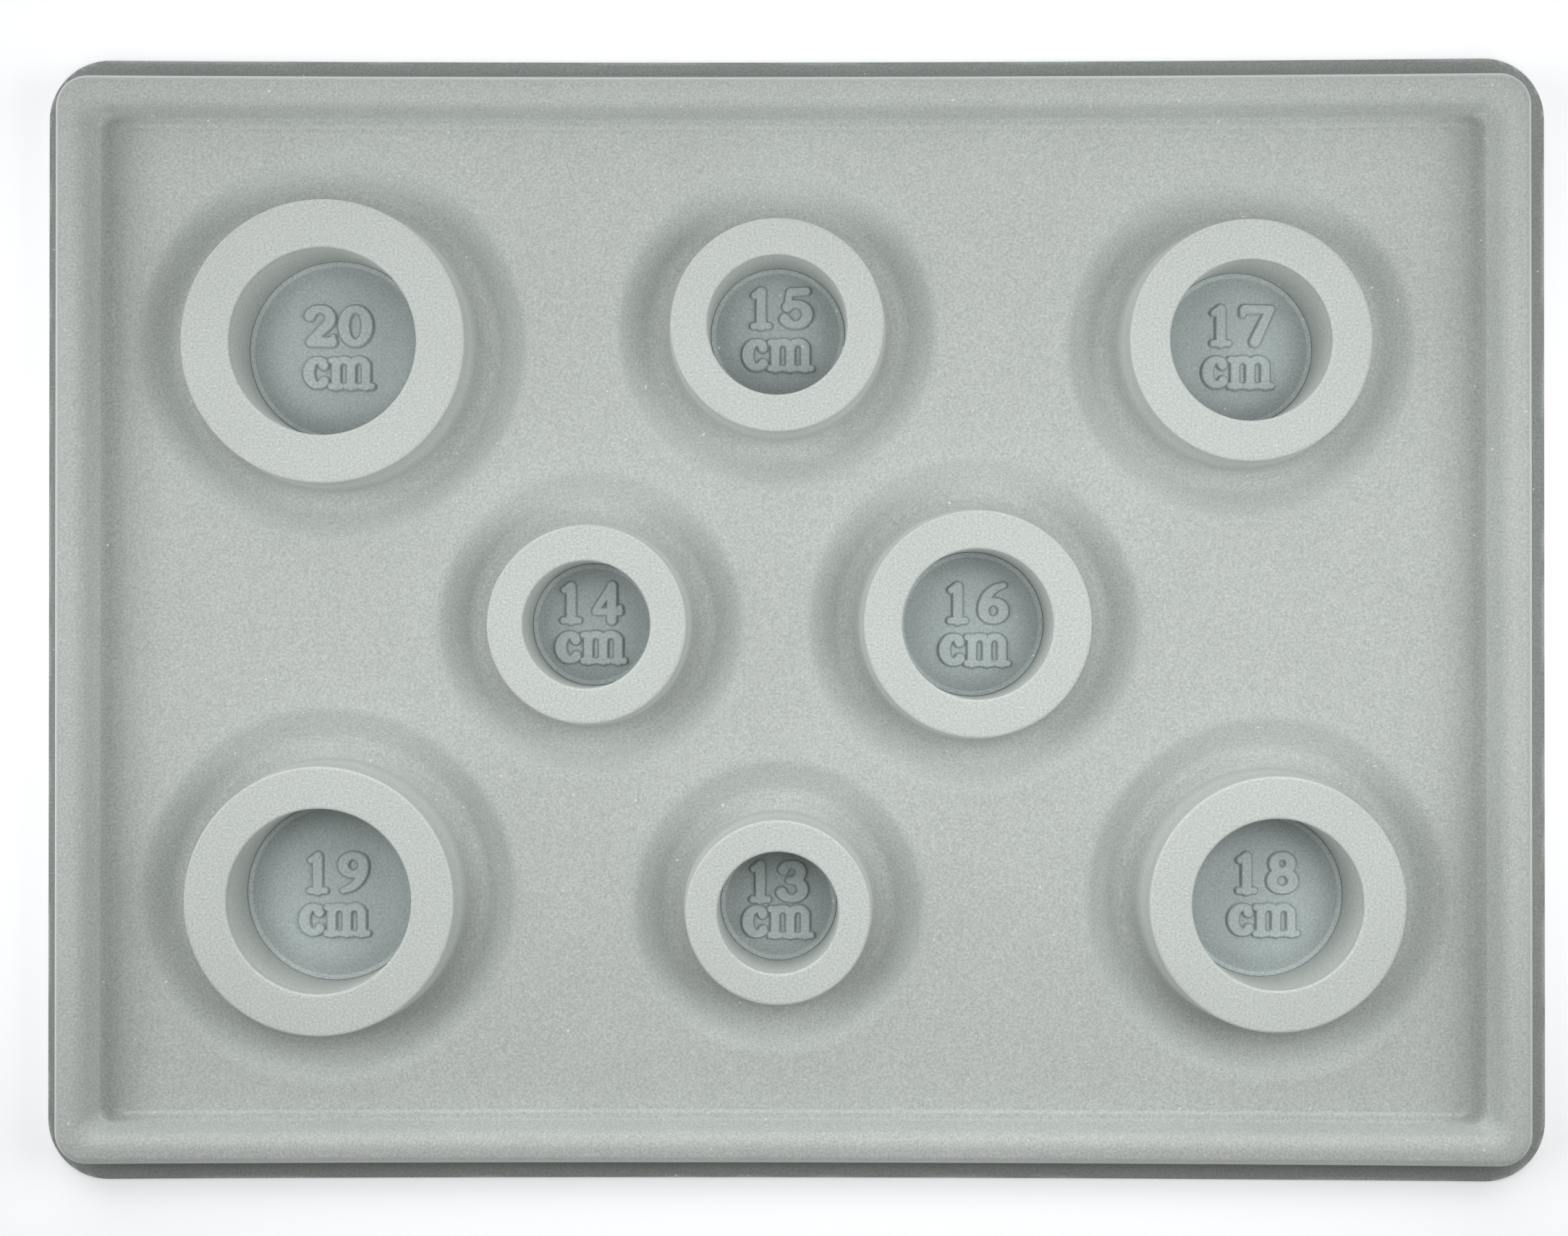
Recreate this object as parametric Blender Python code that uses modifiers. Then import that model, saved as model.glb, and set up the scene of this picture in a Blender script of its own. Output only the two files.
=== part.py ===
"""Bracelet sizing board: a flocked, vacuum-formed tray with eight round posts.

The edge of each post's top is one bracelet size round, and a dished groove round its foot holds the beads.
The tray is one formed sheet. It is cut here at its mould lines into a rim and a floor, and for each size a
groove, a post and the floor of the post's well, so that each can be used and tested by itself.
Metres, +Z up. The origin is the middle of the board, on the table. Heights are those of the upper face.
"""

from collections import namedtuple
from math import cos, pi, radians, sin, tan

import bmesh
import bpy
from mathutils import Matrix, Vector

MM = 0.001
CENTIMETRE = 10 * MM

# The sheet, and the gap left where two of its pieces meet
PLASTIC = 0.9 * MM
FLOCK = 0.5 * MM
SEAM = 0.3 * MM

# Heights: the tray's floor stands over the table, and the rest is measured from that floor
FLOOR_HEIGHT = 9.8 * MM
GROOVE_DEPTH = 5.0 * MM
POST_RISE = 10.2 * MM
RIM_EDGE_RISE = 6.2 * MM
RIM_CROWN = 0.8 * MM
LEDGE_RISE = 0.5 * MM

# A post and its groove, in radii outward from the edge of the post's top
POST_DRAFT = radians(4.5)
POST_EDGE_ROUND = 0.7 * MM
FOOT_FILLET = 2.6 * MM
WELL_DRAFT = radians(1.0)
WELL_LIP = 1.0 * MM
GROOVE_SPLIT = 4.4 * MM
GROOVE_FLAT = 1.3 * MM
GROOVE_WIDTH = 12.6 * MM
GROOVE_FILLET = 3.5 * MM
GROOVE_EDGE_ROUND = 4.0 * MM
GROOVE_LIP = 1.4 * MM

# The rim, inward from the flange's trimmed edge
FLANGE_WIDTH = 4.3 * MM
FLANGE_FILLET = 2.0 * MM
RIM_WALL_RUN = 2.85 * MM
RIM_EDGE_ROUND = 2.4 * MM
RIM_TOP_WIDTH = 5.8 * MM
RIM_TOP_ROUND = 4.5 * MM
SLOPE_RUN = 2.8 * MM
SLOPE_FILLET = 1.6 * MM
LEDGE_WIDTH = 1.5 * MM
LEDGE_ROUND = 0.6 * MM
LEDGE_STEP = 0.7 * MM
END_RIM_EXTRA = 2.6 * MM
RIM_LIP = 0.8 * MM
FLANGE_CORNER = 14.2 * MM
INNER_CORNER = 3.0 * MM

# The pattern of the posts: floor left between the grooves of a middling post, and beside the rim
COLUMN_LAND = 27.8 * MM
MIDDLE_LAND = 10.0 * MM
ROW_NEST = 14.2 * MM
END_LAND = 3.5 * MM
SIDE_LAND = 5.7 * MM

# How finely round shapes are faceted, and how much of a side of a section a fillet may take
TURN_STEPS = 24
CORNER_STEPS = 5
UPPER_ARC_STEP = radians(45)
UNDER_ARC_STEP = radians(75)
FILLET_SHARE = 0.48
END_FILLET_SHARE = 0.95
MERGE_DISTANCE = 0.01 * MM

FLOCK_COLOUR = (0.47, 0.51, 0.49, 1.0)
FLOCK_ROUGHNESS = 0.95

# Bracelet size in cm, width of the top's flat band, place in the pattern, and the mould's own small offset
Post = namedtuple("Post", "size band column row offset")
POSTS = (
    Post(20, 10.8 * MM, -1, 1, (0.1 * MM, -1.1 * MM)),
    Post(15, 8.2 * MM, 0, 1, (-3.3 * MM, 2.5 * MM)),
    Post(17, 9.0 * MM, 1, 1, (-2.7 * MM, -1.0 * MM)),
    Post(14, 8.0 * MM, -0.5, 0, (-2.2 * MM, -1.2 * MM)),
    Post(16, 8.6 * MM, 0.5, 0, (-2.2 * MM, -1.1 * MM)),
    Post(19, 9.5 * MM, -1, -1, (-0.6 * MM, 0.2 * MM)),
    Post(13, 7.1 * MM, 0, -1, (-3.1 * MM, -2.2 * MM)),
    Post(18, 9.5 * MM, 1, -1, (3.2 * MM, -0.3 * MM)),
)

WALL = PLASTIC + FLOCK
GROOVE_HEIGHT = FLOOR_HEIGHT - GROOVE_DEPTH
POST_HEIGHT = FLOOR_HEIGHT + POST_RISE


def post_radius(post):
    """A bracelet's size is the way round it, so the edge of the post's top is that long."""
    return post.size * CENTIMETRE / (2 * pi)


def groove_radius(post):
    return post_radius(post) + GROOVE_WIDTH


MIDDLING_GROOVE = 2 * sum(groove_radius(post) for post in POSTS) / len(POSTS)
COLUMN_PITCH = MIDDLING_GROOVE + COLUMN_LAND
MIDDLE_PITCH = MIDDLING_GROOVE + MIDDLE_LAND
ROW_PITCH = MIDDLING_GROOVE - ROW_NEST


def post_centre(post):
    """The outer rows stand on the wide column pitch. The middle row nests between them on a closer one."""
    pitch = COLUMN_PITCH if post.row else MIDDLE_PITCH
    return Vector((post.column * pitch + post.offset[0], post.row * ROW_PITCH + post.offset[1], 0))


RIM_EDGE_INSET = FLANGE_WIDTH + RIM_WALL_RUN
CREST_INSET = RIM_EDGE_INSET + RIM_TOP_WIDTH
SLOPE_FOOT_INSET = CREST_INSET + SLOPE_RUN
RIM_INSET = SLOPE_FOOT_INSET + LEDGE_WIDTH + LEDGE_STEP
GROOVES_END = max(abs(post_centre(post).x) + groove_radius(post) for post in POSTS)
GROOVES_SIDE = max(abs(post_centre(post).y) + groove_radius(post) for post in POSTS)
BOARD_HALF = Vector((
    GROOVES_END + END_LAND + END_RIM_EXTRA + RIM_INSET,
    GROOVES_SIDE + SIDE_LAND + RIM_INSET,
))


def corner(across, height, radius=0.0):
    """A corner of a section, with the radius that rounds it."""
    return Vector((across, height)), radius


def rounded(path, arc_step):
    """The points along a path of corners, each inner corner turned on an arc that fits its two sides."""
    points = [path[0][0]]
    shares = [FILLET_SHARE] * (len(path) - 1)
    shares[0] = shares[-1] = END_FILLET_SHARE
    sides = [(after - here, share) for (here, _), (after, _), share in zip(path, path[1:], shares)]
    for (here, radius), (arriving, share_in), (leaving, share_out) in zip(path[1:], sides, sides[1:]):
        back = -arriving.normalized()
        onward = leaving.normalized()
        turn = pi - back.angle(onward)
        room = min(arriving.length * share_in, leaving.length * share_out)
        reach = min(radius * tan(turn / 2), room)
        steps = round(turn / arc_step)
        if reach <= 0 or steps == 0:
            points.append(here)
            continue
        arc_radius = reach / tan(turn / 2)
        centre = here + (back + onward).normalized() * arc_radius / cos(turn / 2)
        arm = here + back * reach - centre
        step = turn / steps if back.cross(onward) < 0 else -turn / steps
        points += [centre + Matrix.Rotation(step * count, 2) @ arm for count in range(steps + 1)]
    return points + [path[-1][0]]


def underside(path):
    """The path of the sheet's lower face: a wall's thickness below, with arcs about the same centres."""
    normals = []
    for (start, _), (end, _) in zip(path, path[1:]):
        along = (end - start).normalized()
        normals.append(Vector((along.y, -along.x)))
    moved = [(path[0][0] + normals[0] * WALL, 0.0)]
    for (here, radius), before, after in zip(path[1:], normals, normals[1:]):
        shift = (before + after) * WALL / (1 + before.dot(after))
        wider = WALL if before.cross(after) > 0 else -WALL
        moved.append((here + shift, max(radius + wider, 0.0) if radius else 0.0))
    moved.append((path[-1][0] + normals[-1] * WALL, 0.0))
    return moved


def section(path):
    """The outline of the sheet along a path: out over its upper face, and back under it."""
    return rounded(path, UPPER_ARC_STEP) + rounded(underside(path), UNDER_ARC_STEP)[::-1]


def flock_material():
    material = bpy.data.materials.new("grey_flock")
    material.use_nodes = True
    shader = material.node_tree.nodes["Principled BSDF"]
    shader.inputs["Base Color"].default_value = FLOCK_COLOUR
    shader.inputs["Roughness"].default_value = FLOCK_ROUGHNESS
    shader.inputs["Metallic"].default_value = 0.0
    return material


def add_piece(name, data, location=(0, 0, 0)):
    data.materials.append(FLOCKED)
    piece = bpy.data.objects.new(name, data)
    piece.location = location
    piece.parent = BOARD
    PARTS.objects.link(piece)
    return piece


def add_turned(name, path, location):
    """A ring of the sheet, turned about +Z from the section along a path."""
    points = [(point.x, 0, point.y) for point in section(path)]
    edges = [(index - 1, index) for index in range(1, len(points))]
    edges.append((len(points) - 1, 0))
    mesh = bpy.data.meshes.new(name)
    mesh.from_pydata(points, edges, [])
    piece = add_piece(name, mesh, location)
    turn = piece.modifiers.new("Turn", "SCREW")
    turn.steps = TURN_STEPS
    turn.render_steps = TURN_STEPS
    turn.use_merge_vertices = True
    turn.merge_threshold = MERGE_DISTANCE
    turn.use_smooth_shade = True


def well_foot_radius(post):
    """The well narrows a little to its foot, so that the formed sheet leaves its mould."""
    return post_radius(post) - post.band - tan(WELL_DRAFT) * (POST_HEIGHT - WALL)


def add_post(post):
    """A hollow post: its outer wall, the flat top that is measured round, and the wall of its well."""
    radius = post_radius(post)
    well_foot = well_foot_radius(post)
    foot = radius + tan(POST_DRAFT) * (POST_HEIGHT - GROOVE_HEIGHT)
    path = [
        corner(well_foot - WELL_LIP + SEAM / 2, WALL),
        corner(well_foot, WALL),
        corner(radius - post.band, POST_HEIGHT, POST_EDGE_ROUND),
        corner(radius, POST_HEIGHT, POST_EDGE_ROUND),
        corner(foot, GROOVE_HEIGHT, FOOT_FILLET),
        corner(radius + GROOVE_SPLIT - SEAM / 2, GROOVE_HEIGHT),
    ]
    add_turned(f"post_{post.size}cm", path, post_centre(post))


def add_well_floor(post):
    """The disc at the foot of a well, which stands on the table and carries the size mark."""
    radius = well_foot_radius(post) - WELL_LIP - SEAM / 2
    shape = bmesh.new()
    bmesh.ops.create_cone(
        shape, cap_ends=True, segments=TURN_STEPS, radius1=radius, radius2=radius, depth=WALL
    )
    mesh = bpy.data.meshes.new(f"well_floor_{post.size}cm")
    shape.to_mesh(mesh)
    shape.free()
    add_piece(mesh.name, mesh, post_centre(post) + Vector((0, 0, WALL / 2)))


def add_groove(post):
    """The dished ring round a post, from its lowest line up to the tray's floor."""
    radius = post_radius(post)
    path = [
        corner(radius + GROOVE_SPLIT + SEAM / 2, GROOVE_HEIGHT),
        corner(radius + GROOVE_SPLIT + GROOVE_FLAT, GROOVE_HEIGHT, GROOVE_FILLET),
        corner(radius + GROOVE_WIDTH, FLOOR_HEIGHT, GROOVE_EDGE_ROUND),
        corner(radius + GROOVE_WIDTH + GROOVE_LIP - SEAM / 2, FLOOR_HEIGHT),
    ]
    add_turned(f"groove_{post.size}cm", path, post_centre(post))


def rim_ring(inset, height):
    """The rim's rounded rectangle at this inset. The slope inside the crest is longer at the board's ends."""
    share = min(max((inset - CREST_INSET) / (RIM_INSET - CREST_INSET), 0), 1)
    half = BOARD_HALF - Vector((inset + share * END_RIM_EXTRA, inset))
    radius = max(FLANGE_CORNER - inset, INNER_CORNER)
    points = []
    for quarter, (side_x, side_y) in enumerate(((1, 1), (-1, 1), (-1, -1), (1, -1))):
        for count in range(CORNER_STEPS + 1):
            angle = (quarter + count / CORNER_STEPS) * pi / 2
            points.append((
                side_x * (half.x - radius) + radius * cos(angle),
                side_y * (half.y - radius) + radius * sin(angle),
                height,
            ))
    return points


def add_rim():
    """The raised border, lofted round the board: ledge, inner slope, crowned top, outer wall and flange."""
    edge_height = FLOOR_HEIGHT + RIM_EDGE_RISE
    path = [
        corner(-RIM_INSET - RIM_LIP + SEAM / 2, FLOOR_HEIGHT),
        corner(-RIM_INSET, FLOOR_HEIGHT, LEDGE_ROUND),
        corner(-SLOPE_FOOT_INSET - LEDGE_WIDTH, FLOOR_HEIGHT + LEDGE_RISE, LEDGE_ROUND),
        corner(-SLOPE_FOOT_INSET, FLOOR_HEIGHT + LEDGE_RISE, SLOPE_FILLET),
        corner(-CREST_INSET, edge_height + RIM_CROWN, RIM_TOP_ROUND),
        corner(-RIM_EDGE_INSET, edge_height, RIM_EDGE_ROUND),
        corner(-FLANGE_WIDTH, WALL, FLANGE_FILLET),
        corner(0, WALL),
    ]
    shape = bmesh.new()
    rings = []
    for point in section(path):
        rings.append([shape.verts.new(place) for place in rim_ring(-point.x, point.y)])
    for ring, following in zip(rings, rings[1:] + rings[:1]):
        for index in range(len(ring)):
            shape.faces.new((ring[index - 1], ring[index], following[index], following[index - 1]))
    bmesh.ops.recalc_face_normals(shape, faces=shape.faces)
    mesh = bpy.data.meshes.new("rim")
    shape.to_mesh(mesh)
    shape.free()
    mesh.shade_smooth()
    add_piece("rim", mesh)


def add_loop(curve, points):
    spline = curve.splines.new("POLY")
    spline.points.add(len(points) - 1)
    for place, (across, along, _) in zip(spline.points, points):
        place.co = (across, along, 0, 1)
    spline.use_cyclic_u = True


def add_floor():
    """The flat floor, cut out for each groove."""
    curve = bpy.data.curves.new("floor_panel", "CURVE")
    curve.dimensions = "2D"
    curve.fill_mode = "BOTH"
    curve.extrude = WALL / 2
    add_loop(curve, rim_ring(RIM_INSET + RIM_LIP + SEAM / 2, 0))
    for post in POSTS:
        arm = Vector((groove_radius(post) + GROOVE_LIP + SEAM / 2, 0, 0))
        turns = [Matrix.Rotation(2 * pi * count / TURN_STEPS, 3, "Z") for count in range(TURN_STEPS)]
        add_loop(curve, [post_centre(post) + turn @ arm for turn in turns])
    add_piece("floor_panel", curve, (0, 0, FLOOR_HEIGHT - WALL / 2))


for leftover in list(bpy.data.objects):
    bpy.data.objects.remove(leftover, do_unlink=True)
PARTS = bpy.data.collections.new("bracelet_sizing_board")
bpy.context.scene.collection.children.link(PARTS)
BOARD = bpy.data.objects.new("board", None)
PARTS.objects.link(BOARD)
FLOCKED = flock_material()

add_rim()
add_floor()
for each in POSTS:
    add_groove(each)
    add_post(each)
    add_well_floor(each)
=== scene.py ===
# %% [markdown]
# This lesson dresses a bracelet sizing board: a tray drawn hot from one thin plastic sheet, whose upper face
# is coated with grey flock, a coat of short upright fibres that feels like velvet. The measured solids come
# in first as a fixed frame, and every piece made below takes its place and size from them. Nothing on the
# board moves, so every piece rides on its one body, "root".

# %% Load the frame
from collections import namedtuple
from math import cos, pi, radians, sin, tan

import bmesh
import bpy
import numpy as np
from mathutils import Matrix, Vector
from mathutils.geometry import intersect_point_line


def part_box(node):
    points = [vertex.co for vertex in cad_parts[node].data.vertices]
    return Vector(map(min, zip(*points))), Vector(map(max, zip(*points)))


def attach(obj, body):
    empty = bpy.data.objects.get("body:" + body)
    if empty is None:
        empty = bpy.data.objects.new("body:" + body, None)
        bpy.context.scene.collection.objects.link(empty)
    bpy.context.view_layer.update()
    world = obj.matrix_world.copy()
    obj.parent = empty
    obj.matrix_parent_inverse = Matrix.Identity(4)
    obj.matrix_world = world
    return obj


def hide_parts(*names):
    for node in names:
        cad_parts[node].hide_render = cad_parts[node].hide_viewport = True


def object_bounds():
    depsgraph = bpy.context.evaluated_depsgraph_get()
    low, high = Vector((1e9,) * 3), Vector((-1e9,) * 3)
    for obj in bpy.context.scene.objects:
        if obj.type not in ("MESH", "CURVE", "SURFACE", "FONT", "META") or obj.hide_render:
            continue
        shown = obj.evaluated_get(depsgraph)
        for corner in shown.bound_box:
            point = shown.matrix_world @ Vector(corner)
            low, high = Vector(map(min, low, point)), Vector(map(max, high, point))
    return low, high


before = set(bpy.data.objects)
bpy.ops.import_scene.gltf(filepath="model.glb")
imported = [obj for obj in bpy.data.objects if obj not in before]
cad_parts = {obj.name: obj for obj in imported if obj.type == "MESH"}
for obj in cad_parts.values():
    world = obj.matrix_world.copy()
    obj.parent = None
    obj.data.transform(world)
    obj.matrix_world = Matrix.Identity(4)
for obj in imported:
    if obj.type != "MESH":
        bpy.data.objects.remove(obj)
CAD_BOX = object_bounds()
MM = 0.001
CENTIMETRE = 10 * MM
SIZES = range(13, 21)
BOARD_HALF = (CAD_BOX[1] - CAD_BOX[0]).xy / 2
half_sides = [round(side / MM, 2) for side in BOARD_HALF]
print("frame:", len(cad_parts), "nodes, half the board in mm:", half_sides)

# %% [markdown]
# The photograph looks straight down on the board from about half a metre. The camera could be set by eye, but
# the eight round posts show at two heights how far away it stood, so its place and lens come from them.

# %% Camera
CAMERA_PLACE = (1.2 * MM, -1.4 * MM, 482.7 * MM)
CAMERA_TURN = (radians(0.205), radians(0.364), radians(0.009))
CAMERA_LENS = 47.48

bpy.ops.object.camera_add(location=CAMERA_PLACE, rotation=CAMERA_TURN)
camera = bpy.context.object
camera.name = "camera"
camera.data.lens = CAMERA_LENS
bpy.context.scene.camera = camera
print("camera:", camera.data.lens, "mm lens,", round(camera.location.z / MM), "mm up")

# %% [markdown]
# Colours are written as sRGB hex values, as a painter would read them off a chart, and one function turns
# them to the linear values that a shader adds up. One more small function adds a node with its settings and
# links, so that a finish reads as a short list.

# %% Colour and node helpers


def linear(code):
    """An sRGB hex colour as linear red, green, blue and alpha."""
    channels = [int(code[place:place + 2], 16) / 255 for place in (1, 3, 5)]
    return [c / 12.92 if c <= 0.04045 else ((c + 0.055) / 1.055) ** 2.4 for c in channels] + [1.0]


def add_node(owner, kind, settings=None, **inputs):
    """A node in a material or a world. An input is given by its name, or by its number where two inputs share
    a name. An output socket is linked to it, and any other value is set on it."""
    tree = owner.node_tree
    node = tree.nodes.new(kind)
    for name, value in (settings or {}).items():
        setattr(node, name, value)
    for name, value in inputs.items():
        socket = node.inputs[int(name[1:])] if name[1:].isdigit() else node.inputs[name.replace("_", " ")]
        if isinstance(value, bpy.types.NodeSocket):
            tree.links.new(value, socket)
        else:
            socket.default_value = value
    return node


def new_material(name):
    """A named material, with its shader."""
    material = bpy.data.materials.new(name)
    material.use_nodes = True
    return material, material.node_tree.nodes["Principled BSDF"]


print("a mid grey is", [round(value, 3) for value in linear("#808080")])

# %% [markdown]
# Nylon flock is shot onto wet glue by static, so its fibres stand up like a fine pile. It has no gloss. The
# eye sees a soft speckle where fibres clump, and faint squiggles where they lean against each other. A
# picture of cloth could be pasted on, but noise at the real sizes works from any distance. One fibre is
# 0.02 mm thick, too fine to show, so the speckle is drawn as clumps of many fibres.

# %% Pile of the flock
CLUMP = 0.5 * MM
TUFT = 1.5 * MM
NOISE_LOW = 0.3
NOISE_HIGH = 0.7
SPECKLE_LOW = 0.28
SPECKLE_HIGH = 0.72
EVEN_LEAST = 0.2
EVEN_MOST = 0.45


def pile_colour(material, place, clump, dark, middle, light):
    """The colour of standing fibres: dark and light clumps, evened out along squiggles."""
    speckle = add_node(
        material, "ShaderNodeMapRange", Value=clump, From_Min=SPECKLE_LOW, From_Max=SPECKLE_HIGH
    ).outputs[0]
    fibres = add_node(
        material, "ShaderNodeMix", {"data_type": "RGBA"}, _0=speckle, _6=linear(dark), _7=linear(light)
    ).outputs[2]
    tuft = add_node(
        material, "ShaderNodeTexNoise",
        Vector=place, Scale=1 / TUFT, Detail=2.0, Roughness=0.6, Distortion=1.6,
    ).outputs["Fac"]
    evened = add_node(
        material, "ShaderNodeMapRange",
        Value=tuft, From_Min=NOISE_LOW, From_Max=NOISE_HIGH, To_Min=EVEN_LEAST, To_Max=EVEN_MOST,
    ).outputs[0]
    return add_node(
        material, "ShaderNodeMix", {"data_type": "RGBA"}, _0=evened, _6=fibres, _7=linear(middle)
    ).outputs[2]


print("the speckle is", CLUMP / MM, "mm coarse, and its squiggles are", TUFT / MM, "mm")

# %% [markdown]
# Slopes that face the long sides of the sheet are painted paler than slopes that face its ends: painted light
# and shade by the way a slope faces. The squares of the normal's parts give that alike on both sides of a
# ridge. In wide patches the fibres lean together. The floor along the board's two ends is painted darker, a
# painted shade at the foot of the rim, worked out here from the place on the board. Any other painted light
# and shade is carried by the piece itself.

# %% Tone and painted shade of the flock
LEAN_PATCH = 22 * MM
LEAN_DARK = 0.98
LEAN_LIGHT = 1.02
# Painted light and shade by slope: slopes that face the long sides are painted paler, those that face the
# ends darker.
PAINTED_SHADE_TO_ENDS = -0.16
PAINTED_LIGHT_TO_SIDES = 0.23
# Painted shade on the floor along the board's two ends, at the foot of the rim.
PAINTED_END_SHADE = -0.33
END_SHADE_FROM = 141 * MM
END_SHADE_TO = 156 * MM
END_SHADE_LIMIT = (162 * MM, 118 * MM)
END_SHADE_RISE = 0.6 * MM
END_SHADE_FADE = 1.0 * MM
FLOOR_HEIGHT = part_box("floor_panel")[1].z


def pile_tone(material, place, facing):
    """How light the pile is, about one: leaning patches, and painted shading by slope, end and piece."""
    lean = add_node(
        material, "ShaderNodeTexNoise", Vector=place, Scale=1 / LEAN_PATCH, Detail=3.0, Roughness=0.5
    ).outputs["Fac"]
    leaning = add_node(
        material, "ShaderNodeMapRange",
        Value=lean, From_Min=NOISE_LOW, From_Max=NOISE_HIGH, To_Min=LEAN_DARK, To_Max=LEAN_LIGHT,
    ).outputs[0]
    squares = add_node(
        material, "ShaderNodeVectorMath", {"operation": "MULTIPLY"}, _0=facing, _1=facing
    ).outputs["Vector"]
    # Painted light and shade by the way a slope faces, from the squares of the normal's parts.
    slant = add_node(
        material, "ShaderNodeVectorMath", {"operation": "DOT_PRODUCT"},
        _0=squares, _1=(PAINTED_SHADE_TO_ENDS, PAINTED_LIGHT_TO_SIDES, 0),
    ).outputs["Value"]
    upward = add_node(material, "ShaderNodeSeparateXYZ", Vector=facing).outputs["Z"]
    lean_and_slope_shade = add_node(
        material, "ShaderNodeMath", {"operation": "MULTIPLY_ADD"}, _0=slant, _1=upward, _2=leaning
    ).outputs[0]
    mirrored = add_node(
        material, "ShaderNodeVectorMath", {"operation": "ABSOLUTE"}, _0=place
    ).outputs["Vector"]
    outward = add_node(material, "ShaderNodeSeparateXYZ", Vector=mirrored).outputs
    # The painted shade along the ends, kept to the floor near the rim.
    near_end = add_node(
        material, "ShaderNodeMapRange", Value=outward["X"], From_Min=END_SHADE_FROM, From_Max=END_SHADE_TO
    ).outputs[0]
    end_shade = add_node(
        material, "ShaderNodeMath", {"operation": "MULTIPLY"}, _0=near_end, _1=near_end
    ).outputs[0]
    for axis, limit in zip("XYZ", (*END_SHADE_LIMIT, FLOOR_HEIGHT + END_SHADE_RISE)):
        within = add_node(
            material, "ShaderNodeMapRange",
            Value=outward[axis], From_Min=limit, From_Max=limit + END_SHADE_FADE, To_Min=1.0, To_Max=0.0,
        ).outputs[0]
        end_shade = add_node(
            material, "ShaderNodeMath", {"operation": "MULTIPLY"}, _0=end_shade, _1=within
        ).outputs[0]
    with_end_shade = add_node(
        material, "ShaderNodeMath", {"operation": "MULTIPLY_ADD"}, _0=end_shade, _1=PAINTED_END_SHADE, _2=lean_and_slope_shade
    ).outputs[0]
    # The piece's own painted light and shade, kept on its points.
    own_painted_shading = add_node(material, "ShaderNodeAttribute", {"attribute_name": "tone"}).outputs["Fac"]
    return add_node(material, "ShaderNodeMath", {"operation": "ADD"}, _0=with_end_shade, _1=own_painted_shading).outputs[0]


print("the painted end shade runs from", round(END_SHADE_FROM / MM), "mm to", round(END_SHADE_TO / MM), "mm from the middle")

# %% [markdown]
# The finish puts colour and painted shading together. Along an edge a paler line is painted, a painted
# highlight. At a slant they show a pale bloom, and a little pale lint sticks to them. In the wells the
# colours are darker, a painted shade of the deep wells, and bluer, so the wells get colours of their own.

# %% Nylon flock
FLOCK = {"dark": "#9ea4a0", "middle": "#bcc2be", "light": "#d6dbd8"}
# The wells' colours: darker, a painted shade of the deep wells, and bluer.
WELL_FLOCK_SHADED = {"dark": "#98a2a1", "middle": "#b2bcbb", "light": "#c8d2d1"}
# A painted highlight: the colour that the pale lines along edges are mixed towards.
FLOCK_HIGHLIGHT = "#f2f5f4"
FLOCK_BLOOM = "#e4e8e6"
FLOCK_SURFACE = {"Roughness": 1.0, "Specular IOR Level": 0.15, "Sheen Weight": 0.35, "Sheen Roughness": 0.5}
FLOCK_LINT = "#f1f3f2"
LINT_GAP = 1.1 * MM
LINT_LOW = 0.86
LINT_HIGH = 0.89
LINT_SHARE = 0.7
GRAIN_DEPTH = 0.12 * MM
GRAIN_STRENGTH = 0.4


def make_flock(name, **colours):
    """Nylon flock on a formed sheet, with each point's painted highlight and painted shading."""
    material, shader = new_material(name)
    coordinates = add_node(material, "ShaderNodeTexCoord").outputs
    place = coordinates["Object"]
    clump = add_node(
        material, "ShaderNodeTexNoise", Vector=place, Scale=1 / CLUMP, Detail=2.0, Roughness=0.75
    ).outputs["Fac"]
    # The pile's colour scaled by its leaning patches and its painted light and shade.
    shaded_pile = add_node(
        material, "ShaderNodeVectorMath", {"operation": "SCALE"},
        Vector=pile_colour(material, place, clump, **colours),
        Scale=pile_tone(material, place, coordinates["Normal"]),
    ).outputs[0]
    # The crest value is the painted highlight along an edge.
    crest = add_node(material, "ShaderNodeAttribute", {"attribute_name": "crest"}).outputs["Fac"]
    highlighted = add_node(
        material, "ShaderNodeMix", {"data_type": "RGBA"}, _0=crest, _6=shaded_pile, _7=linear(FLOCK_HIGHLIGHT)
    ).outputs[2]
    lint = add_node(
        material, "ShaderNodeTexNoise", Vector=place, Scale=1 / LINT_GAP, Detail=0.0
    ).outputs["Fac"]
    specks = add_node(
        material, "ShaderNodeMapRange", Value=lint, From_Min=LINT_LOW, From_Max=LINT_HIGH, To_Max=LINT_SHARE
    ).outputs[0]
    colour = add_node(
        material, "ShaderNodeMix", {"data_type": "RGBA"}, _0=specks, _6=highlighted, _7=linear(FLOCK_LINT)
    ).outputs[2]
    grain = add_node(
        material, "ShaderNodeBump", Height=clump, Strength=GRAIN_STRENGTH, Distance=GRAIN_DEPTH
    ).outputs[0]
    material.node_tree.links.new(colour, shader.inputs["Base Color"])
    material.node_tree.links.new(grain, shader.inputs["Normal"])
    for socket, value in FLOCK_SURFACE.items():
        shader.inputs[socket].default_value = value
    shader.inputs["Sheen Tint"].default_value = linear(FLOCK_BLOOM)
    return material


flock = make_flock("grey_nylon_flock", **FLOCK)
well_flock_shaded = make_flock("well_nylon_flock_painted_shade", **WELL_FLOCK_SHADED)
print("finishes:", flock.name, "and", well_flock_shaded.name, "with", len(flock.node_tree.nodes), "nodes each")

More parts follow.
